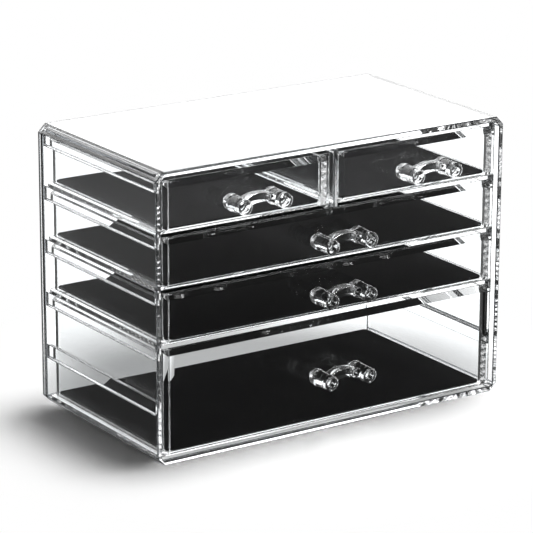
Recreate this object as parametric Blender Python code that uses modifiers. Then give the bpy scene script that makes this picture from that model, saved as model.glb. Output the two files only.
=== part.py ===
"""Clear drawer organizer for a dressing table, modelled piece by piece.

The casing is a moulded sleeve with chamfered long edges, ledges on its side walls and a
separate back. Five clear drawers slide in it: two half-width ones side by side, with a
hanging divider between them, two full-width ones, and one of double height at the bottom.
Every drawer carries a black liner and a clear bow handle on two posts.

Units are metres. The origin is the middle of the casing's underside, +Z is up, and the
drawers pull out along -Y.
"""

import math

import bpy
import bmesh
from mathutils import Vector

# Casing sleeve

CASING_WIDTH = 0.2400
CASING_DEPTH = 0.1310
SIDE_WALL = 0.0030
TOP_WALL = 0.0034
FLOOR_WALL = 0.0036
EDGE_CHAMFER = 0.0048
INNER_TOP_CHAMFER = 0.0025
INNER_FLOOR_CHAMFER = 0.0004
BACK_THICKNESS = 0.0030

# Rows of drawers, counted from the floor of the casing. The rows above the lowest stand
# higher by a rise, which leaves room for the ledges.

ROW_COUNT = 5
ROW_PITCH = 0.0324
ROW_RISE = 0.0011
HEAD_ROOM = 0.0006

# Ledges on the side walls

LEDGE_DEPTH = 0.0032
LEDGE_HEIGHT = 0.0076
LEDGE_FRONT_GAP = 0.0006
LEDGE_BACK_GAP = 0.0018
LEDGE_NOSE = 0.0010

# Divider between the two half-width drawers

DIVIDER_WALL = 0.0026
DIVIDER_FOOT_WIDTH = 0.0100
DIVIDER_FOOT_THICKNESS = 0.0020

# Drawers

FRONT_THICKNESS = 0.0040
FRONT_BEVEL = 0.0035
FRONT_SIDE_GAP = 0.0006
FRONT_ROW_GAP = 0.0020
FRONT_DIVIDER_GAP = 0.0008
TRAY_WALL = 0.0023
TRAY_FLOOR = 0.0020
TRAY_CORNER_RADIUS = 0.0040
TRAY_NEAR_RADIUS = 0.0050
WALL_ROOT = 0.0002
TRAY_RIM_DROP = 0.0020
TRAY_BACK_GAP = 0.0010
RUNNER_OVERLAP = 0.0028

# Liners

LINER_THICKNESS = 0.0011
LINER_INSET = 0.0010

# Bow handles

POST_SPACING = 0.0268
POST_RADIUS = 0.0046
POST_LENGTH = 0.0180
POST_SHOULDER = 0.0020
POST_DIMPLE_RADIUS = 0.0032
POST_DIMPLE_DEPTH = 0.0010
POST_TIP_CHAMFER = 0.0009
COLLAR_LENGTH = 0.0052
COLLAR_RISE = 0.0004
GROOVE_FROM_TIP = 0.0034
GROOVE_WIDTH = 0.0013
GROOVE_DEPTH = 0.0007
PEG_RADIUS = 0.0020
PEG_SHORTFALL = 0.0004
PEG_CLEARANCE = 0.0003
HANDLE_DROP = 0.0015
BRIDGE_DEPTH = 0.0082
BRIDGE_FROM_FRONT = 0.0050
BRIDGE_THICKNESS = 0.0052
BRIDGE_RISE = 0.0030
BRIDGE_ROOT = 0.0029
BRIDGE_CREST_RADIUS = 0.0016
BRIDGE_WAIST_SHARE = 0.12

# Clearances and one overrun for cuts and joins

SLIDE_GAP = 0.0003
SEAT_GAP = 0.0003
BODY_SIDE_GAP = 0.0005
OVERRUN = 0.0010
MERGE_DISTANCE = 0.00001

# Numbers of segments

CORNER_STEPS = 6
POST_SEGMENTS = 20
PEG_SEGMENTS = 16
BRIDGE_STEPS = 10
SHOULDER_STEPS = 3

QUARTER_TURN = math.radians(90.0)

# Sizes that follow from the ones above

FLOOR_LEVEL = FLOOR_WALL + SLIDE_GAP
CASING_HEIGHT = FLOOR_LEVEL + ROW_COUNT * ROW_PITCH + ROW_RISE + HEAD_ROOM + TOP_WALL
CASING_FRONT = -CASING_DEPTH / 2
CASING_BACK = CASING_DEPTH / 2
INNER_HALF_WIDTH = CASING_WIDTH / 2 - SIDE_WALL
INNER_TOP = CASING_HEIGHT - TOP_WALL
FRONT_REAR_FACE = CASING_FRONT + FRONT_THICKNESS
LEDGE_FRONT = FRONT_REAR_FACE + LEDGE_FRONT_GAP
BACK_PANEL_FRONT = CASING_BACK - BACK_THICKNESS
LEDGE_BACK = BACK_PANEL_FRONT - LEDGE_BACK_GAP
TRAY_BACK = BACK_PANEL_FRONT - TRAY_BACK_GAP
FRONT_OUTER_HALF = INNER_HALF_WIDTH - FRONT_SIDE_GAP
FRONT_INNER_EDGE = DIVIDER_WALL / 2 + FRONT_DIVIDER_GAP
BODY_OUTER_HALF = INNER_HALF_WIDTH - LEDGE_DEPTH - BODY_SIDE_GAP
BODY_INNER_EDGE = FRONT_INNER_EDGE + RUNNER_OVERLAP


def row_level(row):
    """Height of the underside of a drawer that stands in a row, the lowest being row 0."""
    rise = ROW_RISE if row else 0
    return FLOOR_LEVEL + row * ROW_PITCH + rise


# Each drawer: name, its row, the rows it fills, and the side of the divider it is on

DRAWERS = (
    ("bottom_drawer", 0, 2, 0),
    ("third_drawer", 2, 1, 0),
    ("second_drawer", 3, 1, 0),
    ("top_left_drawer", 4, 1, -1),
    ("top_right_drawer", 4, 1, 1),
)


# Scene

def clear_scene():
    """Remove every object that the file opened with."""
    for old in list(bpy.data.objects):
        bpy.data.objects.remove(old, do_unlink=True)


def new_collection(name):
    """Make a collection under the scene's own."""
    collection = bpy.data.collections.new(name)
    bpy.context.scene.collection.children.link(collection)
    return collection


def new_material(name, colour, roughness, transmission, alpha):
    """Make a Principled material for one kind of plastic or cloth."""
    material = bpy.data.materials.new(name)
    material.use_nodes = True
    shader = material.node_tree.nodes["Principled BSDF"]
    shader.inputs["Base Color"].default_value = (*colour, 1.0)
    shader.inputs["Roughness"].default_value = roughness
    shader.inputs["Metallic"].default_value = 0.0
    shader.inputs["Transmission Weight"].default_value = transmission
    shader.inputs["IOR"].default_value = 1.49
    material.diffuse_color = (*colour, alpha)
    return material


clear_scene()
PARTS = new_collection("clear_drawer_organizer")
CUTTERS = new_collection("cutters")
CLEAR_CASING = new_material("clear_casing_acrylic", (0.93, 0.95, 0.96), 0.02, 1.0, 0.35)
CLEAR_DRAWER = new_material("clear_drawer_acrylic", (0.95, 0.96, 0.97), 0.02, 1.0, 0.35)
CLEAR_HANDLE = new_material("clear_handle_acrylic", (0.97, 0.98, 0.98), 0.01, 1.0, 0.45)
BLACK_LINER = new_material("black_liner_cloth", (0.012, 0.012, 0.013), 0.85, 0.0, 1.0)


# Outlines, as lists of points in one plane

def arc(centre_x, centre_y, radius, start_angle, steps):
    """Points of a quarter circle, from its start angle on, counter-clockwise."""
    points = []
    for step in range(steps + 1):
        angle = start_angle + QUARTER_TURN * step / steps
        points.append((centre_x + radius * math.cos(angle), centre_y + radius * math.sin(angle)))
    return points


def rounded_outline(x_low, x_high, y_low, y_high, near_radius, far_radius):
    """A rectangle whose two near corners (low y) and two far corners are rounded."""
    corners = (
        (x_low, y_low, near_radius, 2 * QUARTER_TURN),
        (x_high, y_low, near_radius, 3 * QUARTER_TURN),
        (x_high, y_high, far_radius, 0.0),
        (x_low, y_high, far_radius, QUARTER_TURN),
    )
    points = []
    for x, y, radius, start_angle in corners:
        if radius == 0:
            points.append((x, y))
            continue
        inward_x = radius if x == x_low else -radius
        inward_y = radius if y == y_low else -radius
        points += arc(x + inward_x, y + inward_y, radius, start_angle, CORNER_STEPS)
    return points


def chamfered_outline(half_width, z_low, z_high, low_chamfer, high_chamfer):
    """A rectangle about x = 0 with its two low and two high corners cut at 45 degrees."""
    return [
        (-half_width + low_chamfer, z_low),
        (half_width - low_chamfer, z_low),
        (half_width, z_low + low_chamfer),
        (half_width, z_high - high_chamfer),
        (half_width - high_chamfer, z_high),
        (-half_width + high_chamfer, z_high),
        (-half_width, z_high - high_chamfer),
        (-half_width, z_low + low_chamfer),
    ]


# Solids

FACINGS = {
    "up": (0, 0, 0),
    "front": (QUARTER_TURN, 0, 0),
    "side": (QUARTER_TURN, 0, QUARTER_TURN),
}


def mesh_from_curve(curve_object, name):
    """Turn a curve object into a closed mesh object that stands where the curve stood."""
    depsgraph = bpy.context.evaluated_depsgraph_get()
    mesh = bpy.data.meshes.new_from_object(curve_object.evaluated_get(depsgraph))
    mesh.name = name
    shape = bmesh.new()
    shape.from_mesh(mesh)
    bmesh.ops.remove_doubles(shape, verts=shape.verts, dist=MERGE_DISTANCE)
    bmesh.ops.recalc_face_normals(shape, faces=shape.faces)
    shape.to_mesh(mesh)
    shape.free()
    solid = bpy.data.objects.new(name, mesh)
    solid.matrix_world = curve_object.matrix_world.copy()
    bpy.data.objects.remove(curve_object, do_unlink=True)
    return solid


def outline_solid(name, outlines, thickness, location=(0, 0, 0), facing="up"):
    """Extrude flat outlines, the first one outside and any others as holes in it.

    The solid is centred on the plane of its outlines, whose first and second axes are
    X and Y when it faces up, X and Z when it faces the front, and Y and Z for the side.
    """
    curve = bpy.data.curves.new(name + "_outline", "CURVE")
    curve.dimensions = "2D"
    curve.fill_mode = "BOTH"
    curve.extrude = thickness / 2
    for points in outlines:
        spline = curve.splines.new("POLY")
        spline.points.add(len(points) - 1)
        for point, (x, y) in zip(spline.points, points):
            point.co = (x, y, 0, 1)
        spline.use_cyclic_u = True
    curve_object = bpy.data.objects.new(name + "_curve", curve)
    PARTS.objects.link(curve_object)
    curve_object.location = location
    curve_object.rotation_euler = FACINGS[facing]
    bpy.context.view_layer.update()
    return mesh_from_curve(curve_object, name)


def box_solid(name, low, high):
    """A box between two corners, with its scale applied to the mesh."""
    low, high = Vector(low), Vector(high)
    mesh = bpy.data.meshes.new(name)
    shape = bmesh.new()
    bmesh.ops.create_cube(shape, size=1)
    bmesh.ops.scale(shape, vec=high - low, verts=shape.verts)
    shape.to_mesh(mesh)
    shape.free()
    solid = bpy.data.objects.new(name, mesh)
    solid.location = (low + high) / 2
    return solid


def bevel_edges(solid, width, segments, keep):
    """Bevel the mesh edges that a test accepts, such as those round one face."""
    shape = bmesh.new()
    shape.from_mesh(solid.data)
    edges = [edge for edge in shape.edges if keep(edge)]
    bmesh.ops.bevel(
        shape, geom=edges, offset=width, affect="EDGES", segments=segments, profile=0.5, material=-1
    )
    shape.to_mesh(solid.data)
    shape.free()


def peg_cutter(name, x, y_low, y_high, z):
    """A round cutter along Y for one of a handle's pegs."""
    mesh = bpy.data.meshes.new(name)
    shape = bmesh.new()
    hole_radius = PEG_RADIUS + PEG_CLEARANCE
    bmesh.ops.create_cone(
        shape, cap_ends=True, segments=PEG_SEGMENTS, radius1=hole_radius, radius2=hole_radius,
        depth=y_high - y_low,
    )
    shape.to_mesh(mesh)
    shape.free()
    cutter = bpy.data.objects.new(name, mesh)
    cutter.rotation_euler.x = QUARTER_TURN
    cutter.location = (x, (y_low + y_high) / 2, z)
    return cutter


def add_part(solid, material, parent=None):
    """Put a finished solid in the organizer's collection with its own material."""
    PARTS.objects.link(solid)
    solid.data.materials.clear()
    solid.data.materials.append(material)
    if parent is not None:
        solid.parent = parent
    return solid


def combine(target, tool, operation):
    """Join a tool to a part, or cut it away, with an exact Boolean modifier."""
    CUTTERS.objects.link(tool)
    tool.hide_render = True
    tool.display_type = "WIRE"
    tool.parent = target.parent
    modifier = target.modifiers.new(tool.name, "BOOLEAN")
    modifier.operation = operation
    modifier.solver = "EXACT"
    modifier.object = tool


# Casing

def build_sleeve():
    """The moulded sleeve: four walls in one tube, with ledges under every row above the lowest.

    A last pair under the top wall keeps the small drawers from tipping when they are pulled out.
    """
    outer = chamfered_outline(CASING_WIDTH / 2, 0, CASING_HEIGHT, EDGE_CHAMFER, EDGE_CHAMFER)
    inner = chamfered_outline(
        INNER_HALF_WIDTH, FLOOR_WALL, INNER_TOP, INNER_FLOOR_CHAMFER, INNER_TOP_CHAMFER
    )
    sleeve = outline_solid("casing_sleeve", (outer, inner), CASING_DEPTH, facing="front")
    add_part(sleeve, CLEAR_CASING)
    for row in range(1, ROW_COUNT + 1):
        for side in (-1, 1):
            combine(sleeve, build_ledge(row, side), "UNION")


def build_ledge(row, side):
    """One ledge: a rib along the side wall, with its nose eased where a drawer comes in."""
    top = row_level(row) - SLIDE_GAP
    low = top - LEDGE_HEIGHT
    if row == ROW_COUNT:
        top = INNER_TOP + TOP_WALL / 2
    root = side * (INNER_HALF_WIDTH + SIDE_WALL / 2)
    tip = side * (INNER_HALF_WIDTH - LEDGE_DEPTH)
    ledge = box_solid(
        f"ledge_{row}_{'left' if side < 0 else 'right'}",
        (min(root, tip), LEDGE_FRONT, low),
        (max(root, tip), LEDGE_BACK, top),
    )
    tip_x = tip - ledge.location.x
    front_y = LEDGE_FRONT - ledge.location.y

    def is_nose(edge):
        return all(
            math.isclose(vert.co.x, tip_x, abs_tol=MERGE_DISTANCE)
            and math.isclose(vert.co.y, front_y, abs_tol=MERGE_DISTANCE)
            for vert in edge.verts
        )

    bevel_edges(ledge, LEDGE_NOSE, 1, is_nose)
    return ledge


def build_back():
    """The back plate, seated inside the sleeve and flush with its rear edge."""
    outline = chamfered_outline(
        INNER_HALF_WIDTH - SEAT_GAP, FLOOR_WALL + SEAT_GAP, INNER_TOP - SEAT_GAP,
        INNER_FLOOR_CHAMFER, INNER_TOP_CHAMFER,
    )
    back = outline_solid(
        "back_panel", (outline,), BACK_THICKNESS,
        location=(0, CASING_BACK - BACK_THICKNESS / 2, 0), facing="front",
    )
    add_part(back, CLEAR_CASING)


def build_divider():
    """The wall that hangs from the top, with a foot that carries both half-width drawers."""
    foot_top = row_level(ROW_COUNT - 1) - SLIDE_GAP
    foot_low = foot_top - DIVIDER_FOOT_THICKNESS
    wall_back = BACK_PANEL_FRONT - SEAT_GAP
    wall = box_solid(
        "centre_divider",
        (-DIVIDER_WALL / 2, CASING_FRONT, foot_top - DIVIDER_FOOT_THICKNESS / 2),
        (DIVIDER_WALL / 2, wall_back, INNER_TOP - SEAT_GAP),
    )
    foot = box_solid(
        "divider_foot",
        (-DIVIDER_FOOT_WIDTH / 2, LEDGE_FRONT, foot_low),
        (DIVIDER_FOOT_WIDTH / 2, wall_back - OVERRUN, foot_top),
    )
    add_part(wall, CLEAR_CASING)
    combine(wall, foot, "UNION")


# Drawers

def drawer_spans(side):
    """Edges along X of a drawer's front and of its tray, for a full or half-width drawer."""
    if side == 0:
        return (-FRONT_OUTER_HALF, FRONT_OUTER_HALF), (-BODY_OUTER_HALF, BODY_OUTER_HALF)
    front = sorted((side * FRONT_INNER_EDGE, side * FRONT_OUTER_HALF))
    body = sorted((side * BODY_INNER_EDGE, side * BODY_OUTER_HALF))
    return tuple(front), tuple(body)


def build_front_and_floor(name, half_width, height, depth):
    """The thick front plate and the floor behind it, in one L-shaped extrusion.

    The front has a wide bevel that mitres at its corners. The floor stands out past the
    tray's walls on both sides, as the two runners, and its far corners are rounded.
    """
    floor_end = depth - OVERRUN
    profile = [
        (0, 0), (floor_end, 0), (floor_end, TRAY_FLOOR), (FRONT_THICKNESS, TRAY_FLOOR),
        (FRONT_THICKNESS, height), (0, height),
    ]
    solid = outline_solid(name, (profile,), half_width + half_width, facing="side")

    def is_face_edge(edge):
        return all(math.isclose(vert.co.x, 0, abs_tol=MERGE_DISTANCE) for vert in edge.verts)

    def is_far_corner(edge):
        first, second = (vert.co for vert in edge.verts)
        at_end = all(math.isclose(co.x, floor_end, abs_tol=MERGE_DISTANCE) for co in (first, second))
        return at_end and math.isclose(first.z, second.z, abs_tol=MERGE_DISTANCE)

    bevel_edges(solid, FRONT_BEVEL, 1, is_face_edge)
    bevel_edges(solid, TRAY_CORNER_RADIUS, CORNER_STEPS, is_far_corner)
    return solid


def build_drawer(name, row, rows_filled, side):
    """One drawer with its liner and handle, all carried by an empty on the slide's axis.

    Inside a drawer, x is measured from the middle of its front, y from the front's face and
    z from the drawer's underside.
    """
    front_span, body_span = drawer_spans(side)
    middle = sum(front_span) / 2
    half_width = (front_span[1] - front_span[0]) / 2
    height = row_level(row + rows_filled) - FRONT_ROW_GAP - row_level(row)
    rim = height - TRAY_RIM_DROP
    depth = TRAY_BACK - CASING_FRONT
    x_low, x_high = (edge - middle for edge in body_span)

    slide = bpy.data.objects.new(name + "_slide", None)
    slide.location = (middle, CASING_FRONT, row_level(row))
    PARTS.objects.link(slide)

    tray = build_front_and_floor(name, half_width, height, depth)
    add_part(tray, CLEAR_DRAWER, slide)

    walls_low = TRAY_FLOOR / 2
    inner = (x_low + TRAY_WALL, x_high - TRAY_WALL, FRONT_THICKNESS, depth - TRAY_WALL)
    outer_loop = rounded_outline(
        x_low, x_high, FRONT_THICKNESS / 2, depth, 0, TRAY_CORNER_RADIUS + TRAY_WALL
    )
    inner_loop = rounded_outline(
        inner[0], inner[1], FRONT_THICKNESS - WALL_ROOT, inner[3], TRAY_NEAR_RADIUS,
        TRAY_CORNER_RADIUS,
    )
    walls = outline_solid(
        name + "_walls", (outer_loop, inner_loop), rim - walls_low,
        location=(0, 0, (rim + walls_low) / 2),
    )
    combine(tray, walls, "UNION")

    handle_z = height / 2 - HANDLE_DROP
    for number, x in enumerate((-POST_SPACING / 2, POST_SPACING / 2), start=1):
        cutter = peg_cutter(
            f"{name}_peg_hole_{number}", x, -OVERRUN, FRONT_THICKNESS + OVERRUN, handle_z
        )
        combine(tray, cutter, "DIFFERENCE")

    build_liner(name + "_liner", inner, slide)
    build_handle(name + "_handle", handle_z, slide)


def build_liner(name, inner, slide):
    """The thin black pad on the floor of a drawer."""
    x_low, x_high, y_low, y_high = inner
    outline = rounded_outline(
        x_low + LINER_INSET, x_high - LINER_INSET, y_low + LINER_INSET, y_high - LINER_INSET,
        TRAY_NEAR_RADIUS - LINER_INSET, TRAY_CORNER_RADIUS - LINER_INSET,
    )
    liner = outline_solid(
        name, (outline,), LINER_THICKNESS,
        location=(0, 0, TRAY_FLOOR + SEAT_GAP + LINER_THICKNESS / 2),
    )
    add_part(liner, BLACK_LINER, slide)


# Handles

def post_profile():
    """Radius and height of a post, from its dimpled tip down to the end of its peg.

    Height runs along the post: 0 is the seat on the drawer's front, up is towards the tip.
    """
    tip = POST_LENGTH
    groove_top = tip - GROOVE_FROM_TIP
    groove_low = groove_top - GROOVE_WIDTH
    groove_radius = POST_RADIUS - GROOVE_DEPTH
    collar_radius = POST_RADIUS + COLLAR_RISE
    points = [
        (0, tip - POST_DIMPLE_DEPTH),
        (POST_DIMPLE_RADIUS, tip),
        (POST_RADIUS - POST_TIP_CHAMFER, tip),
        (POST_RADIUS, tip - POST_TIP_CHAMFER),
        (POST_RADIUS, groove_top),
        (groove_radius, groove_top - GROOVE_DEPTH / 2),
        (groove_radius, groove_low + GROOVE_DEPTH / 2),
        (POST_RADIUS, groove_low),
        (POST_RADIUS, COLLAR_LENGTH + COLLAR_RISE),
        (collar_radius, COLLAR_LENGTH),
    ]
    for step in range(SHOULDER_STEPS + 1):
        angle = QUARTER_TURN * step / SHOULDER_STEPS
        points.append((
            collar_radius - POST_SHOULDER * (1 - math.cos(angle)),
            SEAT_GAP + POST_SHOULDER * (1 - math.sin(angle)),
        ))
    peg_end = -(FRONT_THICKNESS - PEG_SHORTFALL)
    points += [(PEG_RADIUS, SEAT_GAP), (PEG_RADIUS, peg_end), (0, peg_end)]
    return points


def build_post(name, x, z, slide):
    """A post with its peg: the profile turned about the post's axis, which lies along Y."""
    mesh = bpy.data.meshes.new(name)
    profile = bmesh.new()
    verts = [profile.verts.new((radius, 0, height)) for radius, height in post_profile()]
    for first, second in zip(verts, verts[1:]):
        profile.edges.new((first, second))
    profile.to_mesh(mesh)
    profile.free()
    post = bpy.data.objects.new(name, mesh)
    post.rotation_euler.x = QUARTER_TURN
    post.location = (x, 0, z)
    post.parent = slide
    screw = post.modifiers.new("turn", "SCREW")
    screw.axis = "Z"
    screw.angle = 4 * QUARTER_TURN
    screw.steps = POST_SEGMENTS
    screw.render_steps = POST_SEGMENTS
    screw.use_merge_vertices = True
    screw.merge_threshold = MERGE_DISTANCE
    return post


def build_bridge(name, z):
    """The bow between the posts: a strap with a rounded crest, arched and waisted."""
    reach = POST_SPACING / 2 - POST_RADIUS + BRIDGE_ROOT
    half_depth, half_thickness = BRIDGE_DEPTH / 2, BRIDGE_THICKNESS / 2
    section = rounded_outline(
        -half_depth, half_depth, -half_thickness, half_thickness, 0, BRIDGE_CREST_RADIUS
    )
    bridge = outline_solid(
        name, (section,), reach + reach,
        location=(0, -(BRIDGE_FROM_FRONT + half_depth), z), facing="side",
    )
    shape = bmesh.new()
    shape.from_mesh(bridge.data)
    for step in range(1, BRIDGE_STEPS):
        cut = (0, 0, reach * (2 * step / BRIDGE_STEPS - 1))
        everything = shape.verts[:] + shape.edges[:] + shape.faces[:]
        bmesh.ops.bisect_plane(shape, geom=everything, plane_co=cut, plane_no=(0, 0, 1))
    for vert in shape.verts:
        share = vert.co.z / reach
        swell = 1 - share * share
        vert.co.y += BRIDGE_RISE * swell
        vert.co.x *= 1 - BRIDGE_WAIST_SHARE * swell
    shape.to_mesh(bridge.data)
    shape.free()
    return bridge


def build_handle(name, z, slide):
    """A bow handle in one moulding: two turned posts joined by an arched strap."""
    left = build_post(name, -POST_SPACING / 2, z, slide)
    add_part(left, CLEAR_HANDLE, slide)
    left.data.shade_smooth()
    combine(left, build_bridge(name + "_bridge", z), "UNION")
    right = build_post(name + "_right_post", POST_SPACING / 2, z, slide)
    combine(left, right, "UNION")


# Assembly

build_sleeve()
build_back()
build_divider()
for drawer in DRAWERS:
    build_drawer(*drawer)
bpy.context.view_layer.update()
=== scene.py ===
"""Looks of a clear drawer organizer for a dressing table.

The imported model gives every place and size. This script dresses it: mouldings with eased
edges in clear acrylic, black liners with a fine nap, turned bow handles, and a plain pale
studio with a soft lamp and a camera. Units are metres, +Z is up, drawers pull out along -Y.
"""

import logging
import math
from dataclasses import dataclass, field
from enum import Enum
from typing import Callable, ClassVar, Iterable, Sequence

import bmesh
import bpy
from mathutils import Matrix, Vector


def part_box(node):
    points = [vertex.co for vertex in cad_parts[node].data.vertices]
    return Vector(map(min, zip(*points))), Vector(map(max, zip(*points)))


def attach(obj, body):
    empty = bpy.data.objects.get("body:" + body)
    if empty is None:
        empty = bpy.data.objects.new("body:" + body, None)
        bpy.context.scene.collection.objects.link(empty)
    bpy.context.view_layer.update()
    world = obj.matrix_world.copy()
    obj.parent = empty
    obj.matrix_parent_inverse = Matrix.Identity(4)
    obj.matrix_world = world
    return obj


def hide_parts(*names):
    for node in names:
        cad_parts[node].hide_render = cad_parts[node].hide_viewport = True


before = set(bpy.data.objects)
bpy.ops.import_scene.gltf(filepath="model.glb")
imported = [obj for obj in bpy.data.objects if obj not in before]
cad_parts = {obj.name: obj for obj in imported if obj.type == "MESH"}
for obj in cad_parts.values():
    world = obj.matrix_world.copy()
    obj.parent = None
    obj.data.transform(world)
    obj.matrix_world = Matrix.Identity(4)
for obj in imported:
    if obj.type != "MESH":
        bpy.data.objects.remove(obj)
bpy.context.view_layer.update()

log = logging.getLogger("organizer")

Triple = tuple[float, float, float]
QUARTER_TURN = math.radians(90.0)
TINY = 1e-5
RIM = "rim"
WHITE = (1.0, 1.0, 1.0, 1.0)
ROUNDED_FROM = math.radians(30.0)
SHARP_FROM = math.radians(50.0)
TURNED_SHARP_FROM = math.radians(28.0)
ROUND_FACES = 2


class Axis(Enum):
    """A direction that edges may run along."""

    X = 0
    Y = 1
    Z = 2


class Join(Enum):
    """How a tool shape changes a solid."""

    ADD = "UNION"
    CUT = "DIFFERENCE"


# Modelling helpers


@dataclass(frozen=True)
class Box:
    """A box between two corners, in metres."""

    low: Triple
    high: Triple

    @classmethod
    def of_node(cls, node: str) -> "Box":
        """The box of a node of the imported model."""
        low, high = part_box(node)
        return cls(tuple(low), tuple(high))

    @property
    def centre(self) -> Vector:
        """The middle of the box."""
        return (Vector(self.low) + Vector(self.high)) / 2

    @property
    def size(self) -> Vector:
        """The box's length along each axis."""
        return Vector(self.high) - Vector(self.low)


def block(box: Box) -> bmesh.types.BMesh:
    """Start a mesh from a box.

    Args:
        box: the box's corners.

    Returns:
        A mesh with the box's six faces.
    """
    shape = bmesh.new()
    bmesh.ops.create_cube(shape, size=1.0)
    bmesh.ops.scale(shape, vec=box.size, verts=shape.verts)
    bmesh.ops.translate(shape, vec=box.centre, verts=shape.verts)
    return shape


def ease(
    shape: bmesh.types.BMesh, width: float, segments: int,
    keep: Callable[[bmesh.types.BMEdge], bool],
) -> None:
    """Bevel the edges that a test accepts.

    Args:
        shape: the mesh to change.
        width: distance from the old edge to each new one.
        segments: 1 for a flat chamfer, more for a round.
        keep: tells whether an edge is bevelled.
    """
    edges = [edge for edge in shape.edges if keep(edge)]
    bmesh.ops.bevel(
        shape, geom=edges, offset=width, segments=segments, affect="EDGES", profile=0.5,
        material=-1,
    )


def runs_along(edge: bmesh.types.BMEdge, axis: Axis) -> bool:
    """Tell whether an edge runs along an axis."""
    along = edge.verts[1].co - edge.verts[0].co
    return abs(along[axis.value]) > along.length - TINY


def lies_at(edge: bmesh.types.BMEdge, axis: Axis, value: float) -> bool:
    """Tell whether both ends of an edge have a given coordinate."""
    return all(abs(vert.co[axis.value] - value) < TINY for vert in edge.verts)


def as_object(shape: bmesh.types.BMesh, name: str) -> bpy.types.Object:
    """Turn a mesh under construction into an object of the scene.

    Args:
        shape: the mesh, which is freed.
        name: the new object's name.

    Returns:
        The object, at the origin.
    """
    mesh = bpy.data.meshes.new(name)
    shape.to_mesh(mesh)
    shape.free()
    made = bpy.data.objects.new(name, mesh)
    bpy.context.scene.collection.objects.link(made)
    return made


def combine(target: bpy.types.Object, tool: bpy.types.Object, how: Join) -> None:
    """Join a tool to a solid or cut it away, and remove the tool.

    Args:
        target: the solid, whose mesh is replaced by the result.
        tool: the shape that is added or cut.
        how: whether to add or to cut.
    """
    modifier = target.modifiers.new(how.value, "BOOLEAN")
    modifier.operation = how.value
    modifier.solver = "EXACT"
    modifier.object = tool
    settle(target)
    bpy.data.objects.remove(tool, do_unlink=True)


def settle(target: bpy.types.Object) -> None:
    """Replace an object's mesh by what its modifiers make of it, and drop them."""
    depsgraph = bpy.context.evaluated_depsgraph_get()
    mesh = bpy.data.meshes.new_from_object(target.evaluated_get(depsgraph))
    target.modifiers.clear()
    old, target.data = target.data, mesh
    bpy.data.meshes.remove(old)
    mesh.name = target.name


def soften_edges(target: bpy.types.Object, width: float) -> None:
    """Round every sharp edge of a finished moulding a little, mark the rounds, and shade it.

    Args:
        target: the moulding.
        width: size of the round.
    """
    for _ in range(2):
        target.data.materials.append(None)
    modifier = target.modifiers.new("eased_edges", "BEVEL")
    modifier.material = 1
    modifier.width = width
    modifier.segments = ROUND_FACES
    modifier.limit_method = "ANGLE"
    modifier.angle_limit = ROUNDED_FROM
    modifier.profile = 0.5
    modifier.use_clamp_overlap = False
    settle(target)
    faces = target.data.polygons
    # The rounds are marked so that the acrylic can paint shade on them.
    rims = target.data.attributes.new(RIM, "FLOAT", "FACE")
    rims.data.foreach_set("value", [float(face.material_index) for face in faces])
    faces.foreach_set("material_index", [0] * len(faces))
    level_normals(target)


def level_normals(target: bpy.types.Object) -> None:
    """Shade an object smooth, with each flat face kept truly flat by the faces' areas."""
    target.data.shade_smooth()
    target.data.set_sharp_from_angle(angle=SHARP_FROM)
    modifier = target.modifiers.new("level_normals", "WEIGHTED_NORMAL")
    modifier.mode = "FACE_AREA"
    modifier.weight = 100
    modifier.keep_sharp = True
    settle(target)


# Finishes


def new_tree(name: str) -> tuple[bpy.types.Material, bpy.types.NodeTree]:
    """Make a material with an empty node tree."""
    material = bpy.data.materials.new(name)
    material.use_nodes = True
    material.node_tree.nodes.clear()
    return material, material.node_tree


def mould_marks_group() -> bpy.types.NodeTree:
    """Build the group of faint marks that any moulded acrylic surface carries.

    Returns:
        A node group with a Haze mask and a Bump normal, from Object coordinates.
    """
    defaults = {"Flow Scale": 22.0, "Flow Depth": 0.1, "Scratch Scale": 260.0}
    group = bpy.data.node_groups.new("mould_marks", "ShaderNodeTree")
    face = group.interface
    for name, value in defaults.items():
        socket = face.new_socket(name, in_out="INPUT", socket_type="NodeSocketFloat")
        socket.default_value = value
    face.new_socket("Haze", in_out="OUTPUT", socket_type="NodeSocketFloat")
    face.new_socket("Normal", in_out="OUTPUT", socket_type="NodeSocketVector")
    nodes, links = group.nodes, group.links
    inputs = nodes.new("NodeGroupInput")
    outputs = nodes.new("NodeGroupOutput")
    place = nodes.new("ShaderNodeTexCoord")
    flow = nodes.new("ShaderNodeTexNoise")
    flow.inputs["Detail"].default_value = 1.0
    scratch = nodes.new("ShaderNodeTexNoise")
    scratch.inputs["Detail"].default_value = 6.0
    scratch.inputs["Roughness"].default_value = 0.7
    specks = nodes.new("ShaderNodeValToRGB")
    specks.color_ramp.elements[0].position = 0.62
    specks.color_ramp.elements[1].position = 0.80
    bump = nodes.new("ShaderNodeBump")
    bump.inputs["Distance"].default_value = 0.0004
    links.new(place.outputs["Object"], flow.inputs["Vector"])
    links.new(place.outputs["Object"], scratch.inputs["Vector"])
    links.new(inputs.outputs["Flow Scale"], flow.inputs["Scale"])
    links.new(inputs.outputs["Scratch Scale"], scratch.inputs["Scale"])
    links.new(scratch.outputs["Fac"], specks.inputs["Fac"])
    links.new(flow.outputs["Fac"], bump.inputs["Height"])
    links.new(inputs.outputs["Flow Depth"], bump.inputs["Strength"])
    links.new(specks.outputs["Color"], outputs.inputs["Haze"])
    links.new(bump.outputs["Normal"], outputs.inputs["Normal"])
    return group


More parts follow.
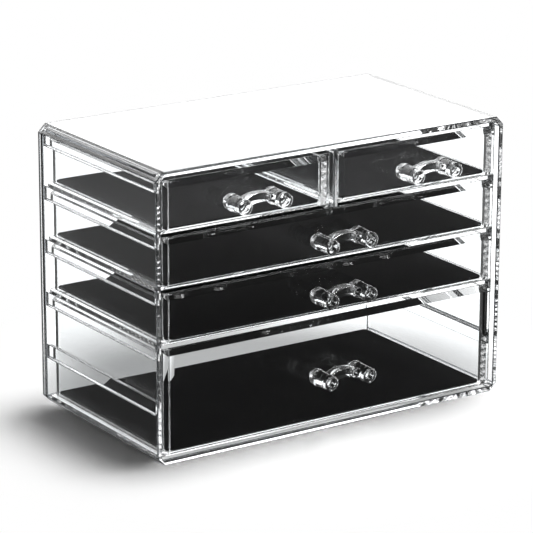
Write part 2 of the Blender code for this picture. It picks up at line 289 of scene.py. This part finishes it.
@dataclass(frozen=True)
class ClearAcrylic:
    """Polished clear acrylic, with faint haze, moulding flow and a painted dark shade on its
    rounded edges.

    Lamps shine through it, so that it throws the pale shadow of a clear thing.
    """

    name: str
    tint: Triple = (0.985, 0.992, 0.995)
    # Painted shade on the rounded edges.
    rim_painted_shade: Triple = (0.05, 0.055, 0.06)
    ior: float = 1.49
    polish: float = 0.0
    haze: float = 0.02
    flow_scale: float = 22.0
    flow_depth: float = 0.0015
    lamp_loss: float = 0.90

    def build(self, marks: bpy.types.NodeTree) -> bpy.types.Material:
        """Make the material.

        Args:
            marks: the group of moulding marks.

        Returns:
            The finished material.
        """
        material, tree = new_tree(self.name)
        nodes, links = tree.nodes, tree.links
        surface = nodes.new("ShaderNodeBsdfPrincipled")
        surface.inputs["Metallic"].default_value = 0.0
        surface.inputs["IOR"].default_value = self.ior
        # Rounded edges get a painted dark shade in place of the clear tint; it stands in for the
        # dark lines that edges take from their surroundings.
        rim = nodes.new("ShaderNodeAttribute")
        rim.attribute_name = RIM
        shade = nodes.new("ShaderNodeMix")
        shade.data_type = "RGBA"
        shade.inputs["A"].default_value = (*self.tint, 1.0)
        shade.inputs["B"].default_value = (*self.rim_painted_shade, 1.0)
        links.new(rim.outputs["Fac"], shade.inputs["Factor"])
        links.new(shade.outputs["Result"], surface.inputs["Base Color"])
        surface.inputs["Transmission Weight"].default_value = 1.0
        worn = nodes.new("ShaderNodeGroup")
        worn.node_tree = marks
        worn.inputs["Flow Scale"].default_value = self.flow_scale
        worn.inputs["Flow Depth"].default_value = self.flow_depth
        rough = nodes.new("ShaderNodeMapRange")
        rough.inputs["To Min"].default_value = self.polish
        rough.inputs["To Max"].default_value = self.haze
        links.new(worn.outputs["Haze"], rough.inputs["Value"])
        links.new(rough.outputs["Result"], surface.inputs["Roughness"])
        links.new(worn.outputs["Normal"], surface.inputs["Normal"])
        path = nodes.new("ShaderNodeLightPath")
        through = nodes.new("ShaderNodeBsdfTransparent")
        through.inputs["Color"].default_value = (self.lamp_loss,) * 3 + (1.0,)
        mix = nodes.new("ShaderNodeMixShader")
        out = nodes.new("ShaderNodeOutputMaterial")
        links.new(path.outputs["Is Shadow Ray"], mix.inputs["Fac"])
        links.new(surface.outputs["BSDF"], mix.inputs[1])
        links.new(through.outputs["BSDF"], mix.inputs[2])
        links.new(mix.outputs["Shader"], out.inputs["Surface"])
        return material


@dataclass(frozen=True)
class BlackNap:
    """Matt black pad with a fine nap and a little lint."""

    name: str
    dark: Triple = (0.0015, 0.0015, 0.0016)
    light: Triple = (0.006, 0.006, 0.0065)
    roughness: float = 0.88
    nap_scale: float = 2400.0
    nap_depth: float = 0.35

    def build(self) -> bpy.types.Material:
        """Make the material.

        Returns:
            The finished material.
        """
        material, tree = new_tree(self.name)
        nodes, links = tree.nodes, tree.links
        surface = nodes.new("ShaderNodeBsdfPrincipled")
        surface.inputs["Specular IOR Level"].default_value = 0.05
        surface.inputs["Sheen Weight"].default_value = 0.01
        surface.inputs["Sheen Roughness"].default_value = 0.5
        place = nodes.new("ShaderNodeTexCoord")
        nap = nodes.new("ShaderNodeTexNoise")
        nap.inputs["Scale"].default_value = self.nap_scale
        nap.inputs["Detail"].default_value = 3.0
        drift = nodes.new("ShaderNodeTexNoise")
        drift.inputs["Scale"].default_value = 45.0
        drift.inputs["Detail"].default_value = 2.0
        blend = nodes.new("ShaderNodeMath")
        blend.operation = "MULTIPLY"
        shade = nodes.new("ShaderNodeValToRGB")
        shade.color_ramp.elements[0].color = (*self.dark, 1.0)
        shade.color_ramp.elements[0].position = 0.10
        shade.color_ramp.elements[1].color = (*self.light, 1.0)
        shade.color_ramp.elements[1].position = 0.42
        rough = nodes.new("ShaderNodeMapRange")
        rough.inputs["To Min"].default_value = self.roughness - 0.08
        rough.inputs["To Max"].default_value = self.roughness + 0.08
        bump = nodes.new("ShaderNodeBump")
        bump.inputs["Strength"].default_value = self.nap_depth
        bump.inputs["Distance"].default_value = 0.0002
        out = nodes.new("ShaderNodeOutputMaterial")
        links.new(place.outputs["Object"], nap.inputs["Vector"])
        links.new(place.outputs["Object"], drift.inputs["Vector"])
        links.new(nap.outputs["Fac"], blend.inputs[0])
        links.new(drift.outputs["Fac"], blend.inputs[1])
        links.new(blend.outputs["Value"], shade.inputs["Fac"])
        links.new(shade.outputs["Color"], surface.inputs["Base Color"])
        links.new(nap.outputs["Fac"], rough.inputs["Value"])
        links.new(rough.outputs["Result"], surface.inputs["Roughness"])
        links.new(nap.outputs["Fac"], bump.inputs["Height"])
        links.new(bump.outputs["Normal"], surface.inputs["Normal"])
        links.new(surface.outputs["BSDF"], out.inputs["Surface"])
        return material


@dataclass
class Finishes:
    """The materials of the organizer, one for each kind of piece."""

    casing: bpy.types.Material
    drawer: bpy.types.Material
    handle: bpy.types.Material
    liner: bpy.types.Material

    @classmethod
    def build(cls) -> "Finishes":
        """Make every material once."""
        marks = mould_marks_group()
        return cls(
            casing=ClearAcrylic("clear_casing").build(marks),
            # The drawers' rounded edges get a lighter painted shade.
            drawer=ClearAcrylic(
                "clear_drawer", rim_painted_shade=(0.62, 0.64, 0.65), flow_scale=30.0,
            ).build(marks),
            handle=ClearAcrylic("clear_handle", flow_depth=0.001, haze=0.01).build(marks),
            liner=BlackNap("black_liner").build(),
        )


def dress(piece: bpy.types.Object, material: bpy.types.Material, body: str) -> None:
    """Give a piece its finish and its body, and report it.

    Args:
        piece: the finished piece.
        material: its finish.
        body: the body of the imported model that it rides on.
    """
    piece.data.materials.clear()
    piece.data.materials.append(material)
    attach(piece, body)
    log.info("%s: %d faces, rides on %s", piece.name, len(piece.data.polygons), body)


# Casing


@dataclass
class Casing:
    """The clear outer casing: chamfered sleeve with ledges, back panel and divider."""

    finishes: Finishes
    edge_chamfer: float = 0.0048
    side_wall: float = 0.0030
    top_wall: float = 0.0034
    floor_wall: float = 0.0036
    inner_top_chamfer: float = 0.0025
    inner_floor_chamfer: float = 0.0004
    ledge_depth: float = 0.0032
    ledge_height: float = 0.0076
    ledge_front: float = 0.0046
    ledge_back: float = 0.0048
    ledge_nose: float = 0.0010
    ledge_drop: float = 0.0003
    edge_round: float = 0.00060
    divider_wall: float = 0.0026
    divider_foot: float = 0.0020
    divider_foot_end: float = 0.0010
    overrun: float = 0.0010
    body: str = "casing"
    slot: str = "clear_casing"
    sleeve: Box = field(default_factory=lambda: Box.of_node("casing_sleeve"))

    def build(self, levels: Sequence[float]) -> None:
        """Build and dress the casing's three pieces.

        Args:
            levels: heights at which drawers stand on ledges.
        """
        self.build_sleeve(levels)
        self.build_back()
        self.build_divider()

    def build_sleeve(self, levels: Sequence[float]) -> None:
        """The moulded sleeve with its ledges."""
        outer = block(self.sleeve)
        ease(outer, self.edge_chamfer, 1, lambda edge: runs_along(edge, Axis.Y))
        sleeve = as_object(outer, "moulded_sleeve")
        combine(sleeve, self.mouth_cutter(), Join.CUT)
        for level in levels:
            for side in (-1, 1):
                combine(sleeve, self.ledge(level, side, level == levels[-1]), Join.ADD)
        soften_edges(sleeve, self.edge_round)
        dress(sleeve, self.finishes.casing, self.body)
        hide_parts("casing_sleeve")

    def mouth_cutter(self) -> bpy.types.Object:
        """The room inside the sleeve, from front to back."""
        (x_low, y_low, z_low), (x_high, y_high, z_high) = self.sleeve.low, self.sleeve.high
        top = z_high - self.top_wall
        floor = z_low + self.floor_wall
        room = block(Box(
            (x_low + self.side_wall, y_low - self.overrun, floor),
            (x_high - self.side_wall, y_high + self.overrun, top),
        ))
        ease(room, self.inner_top_chamfer, 1,
             lambda edge: runs_along(edge, Axis.Y) and lies_at(edge, Axis.Z, top))
        ease(room, self.inner_floor_chamfer, 1,
             lambda edge: runs_along(edge, Axis.Y) and lies_at(edge, Axis.Z, floor))
        return as_object(room, "room")

    def ledge(self, level: float, side: int, last: bool) -> bpy.types.Object:
        """One ledge on a side wall, with its nose eased where a drawer comes in.

        Args:
            level: height of a drawer that would stand on it.
            side: -1 for the left wall, 1 for the right one.
            last: whether it is the one under the top wall, which it runs up into.

        Returns:
            The ledge, ready to be joined to the sleeve.
        """
        (_, y_low, _), (x_high, y_high, z_high) = self.sleeve.low, self.sleeve.high
        root = side * (x_high - self.side_wall / 2)
        tip = side * (x_high - self.side_wall - self.ledge_depth)
        front = y_low + self.ledge_front
        low = level - self.ledge_drop - self.ledge_height
        top = z_high - self.top_wall / 2 if last else level - self.ledge_drop
        rib = block(Box(
            (min(root, tip), front, low), (max(root, tip), y_high - self.ledge_back, top),
        ))
        ease(rib, self.ledge_nose, 1,
             lambda edge: lies_at(edge, Axis.X, tip) and lies_at(edge, Axis.Y, front))
        return as_object(rib, "ledge")

    def build_back(self) -> None:
        """The plate inside the sleeve's rear edge."""
        box = Box.of_node("back_panel")
        plate = block(box)
        top, bottom = box.high[2], box.low[2]
        ease(plate, self.inner_top_chamfer, 1,
             lambda edge: runs_along(edge, Axis.Y) and lies_at(edge, Axis.Z, top))
        ease(plate, self.inner_floor_chamfer, 1,
             lambda edge: runs_along(edge, Axis.Y) and lies_at(edge, Axis.Z, bottom))
        back = as_object(plate, "rear_plate")
        soften_edges(back, self.edge_round)
        dress(back, self.finishes.casing, self.body)
        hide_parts("back_panel")

    def build_divider(self) -> None:
        """The hanging wall between the small drawers, with its carrying foot."""
        box = Box.of_node("centre_divider")
        (x_low, y_low, z_low), (x_high, y_high, z_high) = box.low, box.high
        wall = as_object(block(Box(
            (-self.divider_wall / 2, y_low, z_low + self.divider_foot / 2),
            (self.divider_wall / 2, y_high, z_high),
        )), "hanging_divider")
        foot = as_object(block(Box(
            (x_low, y_low + self.ledge_front, z_low),
            (x_high, y_high - self.divider_foot_end, z_low + self.divider_foot),
        )), "foot")
        combine(wall, foot, Join.ADD)
        soften_edges(wall, self.edge_round)
        dress(wall, self.finishes.casing, self.body)
        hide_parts("centre_divider")


# Drawers


@dataclass
class Drawer:
    """A clear drawer with its black liner and its bow handle."""

    name: str
    finishes: Finishes
    front_thickness: float = 0.0040
    front_bevel: float = 0.0035
    wall: float = 0.0023
    floor: float = 0.0020
    far_radius: float = 0.0040
    near_radius: float = 0.0050
    rim_drop: float = 0.0020
    liner_inset: float = 0.0010
    peg_clearance: float = 0.0003
    wall_root: float = 0.0002
    runner_end: float = 0.0010
    edge_round: float = 0.00022
    overrun: float = 0.0010
    corner_segments: int = 10
    hole_segments: int = 32

    def __post_init__(self) -> None:
        """Read the drawer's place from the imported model."""
        self.box = Box.of_node(self.name)
        liner = Box.of_node(self.name + "_liner")
        self.inner_x = (liner.low[0] - self.liner_inset, liner.high[0] + self.liner_inset)

    def build(self) -> None:
        """Build and dress the drawer, its liner and its handle."""
        self.build_tray()
        Liner(self.name, self.finishes).build()
        BowHandle(self.name, self.finishes).build()

    def build_tray(self) -> None:
        """The one-piece moulding of front, floor, runners and walls."""
        (x_low, y_low, z_low), (x_high, y_high, z_high) = self.box.low, self.box.high
        rim = z_high - self.rim_drop
        floor_end = y_high - self.runner_end
        tray = as_object(self.front_and_floor(floor_end), self.name + "_moulding")
        walls = block(Box(
            (self.inner_x[0] - self.wall, y_low + self.front_thickness / 2, z_low + self.floor / 2),
            (self.inner_x[1] + self.wall, y_high, rim),
        ))
        ease(walls, self.far_radius + self.wall, self.corner_segments,
             lambda edge: runs_along(edge, Axis.Z) and lies_at(edge, Axis.Y, y_high))
        ring = as_object(walls, "walls")
        combine(ring, self.hollow(rim), Join.CUT)
        combine(tray, ring, Join.ADD)
        for x in self.peg_places():
            combine(tray, self.peg_hole(x), Join.CUT)
        soften_edges(tray, self.edge_round)
        dress(tray, self.finishes.drawer, self.name)
        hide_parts(self.name)

    def front_and_floor(self, floor_end: float) -> bmesh.types.BMesh:
        """The L of front plate and floor, with the front's wide mitred bevel."""
        (x_low, y_low, z_low), (x_high, _, z_high) = self.box.low, self.box.high
        floor_top = z_low + self.floor
        rear_face = y_low + self.front_thickness
        profile = [
            (y_low, z_low), (floor_end, z_low), (floor_end, floor_top), (rear_face, floor_top),
            (rear_face, z_high), (y_low, z_high),
        ]
        shape = bmesh.new()
        face = shape.faces.new([shape.verts.new((x_low, y, z)) for y, z in profile])
        grown = bmesh.ops.extrude_face_region(shape, geom=[face])
        moved = [item for item in grown["geom"] if isinstance(item, bmesh.types.BMVert)]
        bmesh.ops.translate(shape, vec=(x_high - x_low, 0, 0), verts=moved)
        bmesh.ops.recalc_face_normals(shape, faces=shape.faces)
        ease(shape, self.front_bevel, 1, lambda edge: lies_at(edge, Axis.Y, y_low))
        ease(shape, self.far_radius, self.corner_segments,
             lambda edge: runs_along(edge, Axis.Z) and lies_at(edge, Axis.Y, floor_end))
        return shape

    def hollow(self, rim: float) -> bpy.types.Object:
        """The cutter that leaves the tray's ring of walls."""
        (_, y_low, z_low), (_, y_high, _) = self.box.low, self.box.high
        near = y_low + self.front_thickness - self.wall_root
        far = y_high - self.wall
        room = block(Box(
            (self.inner_x[0], near, z_low - self.overrun),
            (self.inner_x[1], far, rim + self.overrun),
        ))
        ease(room, self.far_radius, self.corner_segments,
             lambda edge: runs_along(edge, Axis.Z) and lies_at(edge, Axis.Y, far))
        ease(room, self.near_radius, self.corner_segments,
             lambda edge: runs_along(edge, Axis.Z) and lies_at(edge, Axis.Y, near))
        return as_object(room, "hollow")

    def peg_places(self) -> tuple[float, float]:
        """Where along X the handle's pegs go through the front."""
        centre = Box.of_node(self.name + "_handle").centre.x
        half = BowHandle.post_spacing / 2
        return centre - half, centre + half

    def peg_hole(self, x: float) -> bpy.types.Object:
        """A round cutter through the front for one peg."""
        shape = bmesh.new()
        radius = BowHandle.peg_radius + self.peg_clearance
        bmesh.ops.create_cone(
            shape, cap_ends=True, segments=self.hole_segments, radius1=radius, radius2=radius,
            depth=self.front_thickness + 2 * self.overrun,
        )
        turn = Matrix.Rotation(QUARTER_TURN, 4, "X")
        middle = self.box.low[1] + self.front_thickness / 2
        place = Matrix.Translation((x, middle, BowHandle.axis_height(self.name)))
        bmesh.ops.transform(shape, matrix=place @ turn, verts=shape.verts)
        return as_object(shape, "peg_hole")


@dataclass
class Liner:
    """The thin black pad on a drawer's floor."""

    drawer: str
    finishes: Finishes
    far_radius: float = 0.0030
    near_radius: float = 0.0040
    edge_round: float = 0.0003
    corner_segments: int = 8

    def build(self) -> None:
        """Build and dress the pad."""
        node = self.drawer + "_liner"
        box = Box.of_node(node)
        near, far = box.low[1], box.high[1]
        shape = block(box)
        ease(shape, self.far_radius, self.corner_segments,
             lambda edge: runs_along(edge, Axis.Z) and lies_at(edge, Axis.Y, far))
        ease(shape, self.near_radius, self.corner_segments,
             lambda edge: runs_along(edge, Axis.Z) and lies_at(edge, Axis.Y, near))
        pad = as_object(shape, self.drawer + "_pad")
        soften_edges(pad, self.edge_round)
        dress(pad, self.finishes.liner, self.drawer)
        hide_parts(node)


@dataclass
class BowHandle:
    """A clear bow handle: two turned posts with pegs and an arched strap between them."""

    drawer: str
    finishes: Finishes
    post_radius: float = 0.0046
    collar_rise: float = 0.0004
    collar_length: float = 0.0052
    shoulder: float = 0.0020
    tip_chamfer: float = 0.0009
    groove_from_tip: float = 0.0034
    groove_width: float = 0.0013
    groove_depth: float = 0.0007
    dimple_radius: float = 0.0032
    dimple_depth: float = 0.0010
    facets: int = 8
    dimple_overrun: float = 0.0010
    shoulder_steps: int = 6
    seat_gap: float = 0.0003
    peg_length: float = 0.0036
    strap_depth: float = 0.0082
    strap_from_front: float = 0.0050
    strap_thickness: float = 0.0052
    strap_rise: float = 0.0030
    strap_root: float = 0.0029
    strap_crest: float = 0.0016
    strap_waist: float = 0.12
    strap_steps: int = 16
    crest_segments: int = 6
    turn_segments: int = 48

    post_spacing: ClassVar[float] = 0.0268
    peg_radius: ClassVar[float] = 0.0020
    drop: ClassVar[float] = 0.0015

    @classmethod
    def axis_height(cls, drawer: str) -> float:
        """Height of the posts' axes: a little under the middle of the drawer's front."""
        return Box.of_node(drawer).centre.z - cls.drop

    def build(self) -> None:
        """Build and dress the handle."""
        node = self.drawer + "_handle"
        centre = Box.of_node(node).centre.x
        self.front = Box.of_node(self.drawer).low[1]
        self.tip = self.front - Box.of_node(node).low[1]
        self.height = self.axis_height(self.drawer)
        handle = self.post(centre - self.post_spacing / 2, self.drawer + "_bow_handle")
        combine(handle, self.strap(centre), Join.ADD)
        combine(handle, self.post(centre + self.post_spacing / 2, "right_post"), Join.ADD)
        handle.data.shade_smooth()
        handle.data.set_sharp_from_angle(angle=TURNED_SHARP_FROM)
        dress(handle, self.finishes.handle, self.drawer)
        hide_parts(node)

    def profile(self) -> list[tuple[float, float]]:
        """Radius and distance from the front, from the tip's rim back to the peg's end."""
        tip = self.tip
        groove_top = tip - self.groove_from_tip
        groove_low = groove_top - self.groove_width
        neck = self.post_radius - self.groove_depth
        collar = self.post_radius + self.collar_rise
        points = [
            (0.0, tip),
            (self.post_radius - self.tip_chamfer, tip),
            (self.post_radius, tip - self.tip_chamfer),
            (self.post_radius, groove_top),
            (neck, groove_top - self.groove_depth / 2),
            (neck, groove_low + self.groove_depth / 2),
            (self.post_radius, groove_low),
            (self.post_radius, self.collar_length + self.collar_rise),
            (collar, self.collar_length),
        ]
        for step in range(self.shoulder_steps + 1):
            angle = QUARTER_TURN * step / self.shoulder_steps
            points.append((
                collar - self.shoulder * (1 - math.cos(angle)),
                self.seat_gap + self.shoulder * (1 - math.sin(angle)),
            ))
        points += [
            (self.peg_radius, self.seat_gap), (self.peg_radius, -self.peg_length),
            (0.0, -self.peg_length),
        ]
        return points

    def post(self, x: float, name: str) -> bpy.types.Object:
        """A post: its profile spun about an axis along Y, with a faceted dimple in its tip."""
        shape = bmesh.new()
        axis = Vector((x, 0, self.height))
        verts = [
            shape.verts.new((x + radius, self.front - out, self.height))
            for radius, out in self.profile()
        ]
        edges = [shape.edges.new(pair) for pair in zip(verts, verts[1:])]
        bmesh.ops.spin(
            shape, geom=verts + edges, cent=axis, axis=(0, 1, 0), angle=4 * QUARTER_TURN,
            steps=self.turn_segments, use_merge=True,
        )
        bmesh.ops.remove_doubles(shape, verts=shape.verts, dist=TINY)
        bmesh.ops.recalc_face_normals(shape, faces=shape.faces)
        post = as_object(shape, name)
        combine(post, self.dimple(x), Join.CUT)
        return post

    def dimple(self, x: float) -> bpy.types.Object:
        """The cutter for the many-sided dimple in a post's tip."""
        shape = bmesh.new()
        reach = self.dimple_overrun
        slope = self.dimple_radius / self.dimple_depth
        bmesh.ops.create_cone(
            shape, cap_ends=True, segments=self.facets,
            radius1=slope * (self.dimple_depth + reach), radius2=0.0,
            depth=self.dimple_depth + reach,
        )
        turn = Matrix.Rotation(-QUARTER_TURN, 4, "X")
        middle = self.front - self.tip + (self.dimple_depth - reach) / 2
        place = Matrix.Translation((x, middle, self.height))
        bmesh.ops.transform(shape, matrix=place @ turn, verts=shape.verts)
        return as_object(shape, "dimple")

    def strap(self, centre: float) -> bpy.types.Object:
        """The arched, waisted strap between the posts, with a rounded crest."""
        reach = self.post_spacing / 2 - self.post_radius + self.strap_root
        half_depth, half_thickness = self.strap_depth / 2, self.strap_thickness / 2
        shape = block(Box(
            (-reach, -half_depth, -half_thickness), (reach, half_depth, half_thickness),
        ))
        ease(shape, self.strap_crest, self.crest_segments,
             lambda edge: runs_along(edge, Axis.X) and lies_at(edge, Axis.Z, half_thickness))
        for step in range(1, self.strap_steps):
            cut = (reach * (2 * step / self.strap_steps - 1), 0, 0)
            everything = shape.verts[:] + shape.edges[:] + shape.faces[:]
            bmesh.ops.bisect_plane(shape, geom=everything, plane_co=cut, plane_no=(1, 0, 0))
        for vert in shape.verts:
            swell = 1 - (vert.co.x / reach) ** 2
            vert.co.z += self.strap_rise * swell
            vert.co.y *= 1 - self.strap_waist * swell
        middle = self.front - self.strap_from_front - half_depth
        bmesh.ops.translate(shape, vec=(centre, middle, self.height), verts=shape.verts)
        return as_object(shape, "strap")


# Studio


@dataclass(frozen=True)
class RayKinds:
    """Masks that tell apart the light paths which meet the floor or the surround."""

    nodes: bpy.types.Nodes
    links: bpy.types.NodeLinks

    def over_half(self, value: bpy.types.NodeSocket) -> bpy.types.NodeSocket:
        """Make a mask that is 1 where a count is 1 or more."""
        test = self.nodes.new("ShaderNodeMath")
        test.operation = "GREATER_THAN"
        test.inputs[1].default_value = 0.5
        self.links.new(value, test.inputs[0])
        return test.outputs["Value"]

    def build(self) -> tuple[bpy.types.NodeSocket, ...]:
        """Make the masks.

        Returns:
            Masks for the eye's own rays, for rays that came straight through clear walls, for
            rays that a clear wall mirrored, and for soft light.
        """
        path = self.nodes.new("ShaderNodeLightPath")
        return (
            path.outputs["Is Camera Ray"],
            self.over_half(path.outputs["Transmission Depth"]),
            self.over_half(path.outputs["Glossy Depth"]),
            self.over_half(path.outputs["Diffuse Depth"]),
        )


@dataclass
class Studio:
    """Plain pale floor, soft lamp, an even surround and the photograph's camera."""

    azimuth: float = math.radians(-33.741)
    elevation: float = math.radians(16.989)
    roll: float = math.radians(0.243)
    distance: float = 1.759492
    aim: Triple = (0.0, 0.0, 0.0855)
    aside: tuple[float, float] = (0.002938, 0.004057)
    focal_pixels: float = 2970.012
    frame_pixels: float = 533.0
    sensor: float = 36.0
    floor_drop: float = 0.0003
    floor_half: float = 3.0
    floor_white: float = 0.97
    shadow_reach: tuple[float, float] = (0.135, 0.22)
    # Floor glow through clear walls, near and far; the dim near value is a painted shadow under the
    # object.
    seen_through: tuple[float, float] = (0.6, 1.9)
    through_reach: tuple[float, float] = (0.10, 0.20)
    # Floor glow in clear walls' reflections, near and far: a painted dark reflection.
    floor_mirrored: tuple[float, float] = (0.06, 0.15)
    mirror_reach: tuple[float, float] = (0.20, 0.50)
    ambient: float = 0.08
    backlight: float = 2.7
    dark_side: float = 0.10
    bright_side: tuple[float, float] = (0.05, 0.60)
    mirror_side: tuple[float, float] = (0.10, 0.60)
    key_place: Triple = (0.42, 0.04, 1.66)
    key_aim: Triple = (0.0, 0.0, 0.06)
    key_size: float = 0.66
    key_energy: float = 30.0
    bounces: int = 64
    clear_bounces: int = 48
    shadow_bounces: int = 32

    def build(self) -> None:
        """Make the camera, the floor, the surround and the lamps."""
        self.build_camera()
        self.build_floor()
        self.build_world()
        self.build_key()
        scene = bpy.context.scene
        scene.view_settings.view_transform = "Standard"
        scene.cycles.max_bounces = self.bounces
        scene.cycles.transmission_bounces = self.clear_bounces
        scene.cycles.glossy_bounces = self.clear_bounces
        scene.cycles.transparent_max_bounces = self.shadow_bounces

    def build_camera(self) -> None:
        """The camera, placed by the angles that fit the casing's corners."""
        a, e = self.azimuth, self.elevation
        back = Vector((math.sin(a) * math.cos(e), -math.cos(a) * math.cos(e), math.sin(e)))
        level = Vector((math.cos(a), math.sin(a), 0.0))
        upright = back.cross(level)
        right = math.cos(self.roll) * level + math.sin(self.roll) * upright
        up = -math.sin(self.roll) * level + math.cos(self.roll) * upright
        data = bpy.data.cameras.new("camera")
        data.sensor_width = self.sensor
        data.lens = self.focal_pixels * self.sensor / self.frame_pixels
        data.clip_start, data.clip_end = 0.01, 100.0
        camera = bpy.data.objects.new("camera", data)
        bpy.context.scene.collection.objects.link(camera)
        place = Vector(self.aim) - self.aside[0] * right - self.aside[1] * up + self.distance * back
        turn = Matrix((right, up, back)).transposed().to_4x4()
        camera.matrix_world = Matrix.Translation(place) @ turn
        bpy.context.scene.camera = camera

    @staticmethod
    def blend(tree: bpy.types.NodeTree, mask: bpy.types.NodeSocket, first: bpy.types.NodeSocket,
              second: bpy.types.NodeSocket) -> bpy.types.NodeSocket:
        """Mix two shaders by a mask."""
        mix = tree.nodes.new("ShaderNodeMixShader")
        tree.links.new(mask, mix.inputs["Fac"])
        tree.links.new(first, mix.inputs[1])
        tree.links.new(second, mix.inputs[2])
        return mix.outputs["Shader"]

    @staticmethod
    def glow(tree: bpy.types.NodeTree, strength: float | bpy.types.NodeSocket,
             kind: str = "ShaderNodeEmission") -> bpy.types.NodeSocket:
        """White light of a fixed strength, or of one that nodes give.

        Args:
            tree: the tree of the floor's material or of the surround.
            strength: a number, or the socket that gives it.
            kind: the emission node, or a background for the surround.

        Returns:
            The light's shader.
        """
        glow = tree.nodes.new(kind)
        glow.inputs["Color"].default_value = WHITE
        if isinstance(strength, float):
            glow.inputs["Strength"].default_value = strength
        else:
            tree.links.new(strength, glow.inputs["Strength"])
        return glow.outputs[0]

    @staticmethod
    def ramp(tree: bpy.types.NodeTree, value: bpy.types.NodeSocket, span: tuple[float, float],
             result: tuple[float, float]) -> bpy.types.NodeSocket:
        """Ease a value from one result to another over a span of it."""
        ramp = tree.nodes.new("ShaderNodeMapRange")
        ramp.interpolation_type = "SMOOTHSTEP"
        ramp.inputs["From Min"].default_value, ramp.inputs["From Max"].default_value = span
        ramp.inputs["To Min"].default_value, ramp.inputs["To Max"].default_value = result
        tree.links.new(value, ramp.inputs["Value"])
        return ramp.outputs["Result"]

    def build_floor(self) -> None:
        """A wide pale floor that keeps shadows near the object and is white further off. Through
        clear walls it is a glow with a painted shadow near the object; in their reflections it is a
        dim glow, a painted dark reflection.
        """
        shape = bmesh.new()
        bmesh.ops.create_grid(shape, x_segments=1, y_segments=1, size=self.floor_half)
        bmesh.ops.translate(shape, vec=(0, 0, -self.floor_drop), verts=shape.verts)
        floor = as_object(shape, "floor")
        material, tree = new_tree("pale_floor")
        nodes, links = tree.nodes, tree.links
        eye, through, mirrored, soft = RayKinds(nodes, links).build()
        diffuse = nodes.new("ShaderNodeBsdfDiffuse")
        diffuse.inputs["Color"].default_value = (self.floor_white,) * 3 + (1.0,)
        real = diffuse.outputs["BSDF"]
        place = nodes.new("ShaderNodeTexCoord")
        reach = nodes.new("ShaderNodeVectorMath")
        reach.operation = "LENGTH"
        links.new(place.outputs["Object"], reach.inputs[0])
        far = self.ramp(tree, reach.outputs["Value"], self.shadow_reach, (0.0, 1.0))
        # Painted shadow: through clear walls the floor glows dimmer near the object, brighter
        # further off.
        painted_through_glow = self.ramp(tree, reach.outputs["Value"], self.through_reach, self.seen_through)
        # Painted dark reflection: clear walls mirror the floor as a dim glow, dimmest near the
        # object.
        painted_mirror_glow = self.ramp(tree, reach.outputs["Value"], self.mirror_reach, self.floor_mirrored)
        shader = self.blend(tree, far, real, self.glow(tree, 1.0))
        shader = self.blend(tree, eye, real, shader)
        shader = self.blend(tree, through, shader, self.glow(tree, painted_through_glow))
        shader = self.blend(tree, mirrored, shader, self.glow(tree, painted_mirror_glow))
        shader = self.blend(tree, soft, shader, real)
        out = nodes.new("ShaderNodeOutputMaterial")
        links.new(shader, out.inputs["Surface"])
        floor.data.materials.append(material)

    @classmethod
    def sky(cls, tree: bpy.types.NodeTree,
            strength: float | bpy.types.NodeSocket) -> bpy.types.NodeSocket:
        """A white surround of some strength."""
        return cls.glow(tree, strength, "ShaderNodeBackground")

    def build_world(self) -> None:
        """White surround, with a bright back and a dark front for what clear walls mirror."""
        world = bpy.data.worlds.new("surround")
        bpy.context.scene.world = world
        world.use_nodes = True
        tree = world.node_tree
        nodes, links = tree.nodes, tree.links
        nodes.clear()
        eye, through, mirrored, soft = RayKinds(nodes, links).build()
        place = nodes.new("ShaderNodeTexCoord")
        facing = nodes.new("ShaderNodeVectorMath")
        facing.operation = "DOT_PRODUCT"
        facing.inputs[1].default_value = (-math.sin(self.azimuth), math.cos(self.azimuth), 0.0)
        links.new(place.outputs["Generated"], facing.inputs[0])
        ahead = facing.outputs["Value"]
        shader = self.sky(tree, 1.0)
        bent = self.ramp(tree, ahead, self.bright_side, (self.dark_side, self.seen_through[1]))
        shader = self.blend(tree, through, shader, self.sky(tree, bent))
        studio = self.ramp(tree, ahead, self.mirror_side, (self.dark_side, self.backlight))
        shader = self.blend(tree, mirrored, shader, self.sky(tree, studio))
        shader = self.blend(tree, soft, shader, self.sky(tree, self.ambient))
        out = nodes.new("ShaderNodeOutputWorld")
        links.new(shader, out.inputs["Surface"])

    def build_key(self) -> None:
        """A large soft lamp above and to the right, which throws the shadow left."""
        data = bpy.data.lights.new("key", "AREA")
        data.shape = "DISK"
        data.size = self.key_size
        data.energy = self.key_energy
        lamp = bpy.data.objects.new("key", data)
        bpy.context.scene.collection.objects.link(lamp)
        lamp.location = self.key_place
        aim = Vector(self.key_aim) - lamp.location
        lamp.rotation_mode = "QUATERNION"
        lamp.rotation_quaternion = aim.to_track_quat("-Z", "Y")


# Assembly


DRAWERS = (
    "top_left_drawer", "top_right_drawer", "second_drawer", "third_drawer", "bottom_drawer",
)


def ledge_levels() -> list[float]:
    """Heights at which drawers stand on ledges, from the idle one beside the deep drawer up."""
    third = Box.of_node("third_drawer").low[2]
    pitch = Box.of_node("second_drawer").low[2] - third
    return [third + step * pitch for step in range(-1, 4)]


def main() -> None:
    """Build the organizer piece by piece, then the studio round it."""
    logging.basicConfig(level=logging.INFO, format="%(name)s: %(message)s")
    finishes = Finishes.build()
    Casing(finishes).build(ledge_levels())
    for name in DRAWERS:
        Drawer(name, finishes).build()
    Studio().build()


if __name__ == "__main__":
    main()
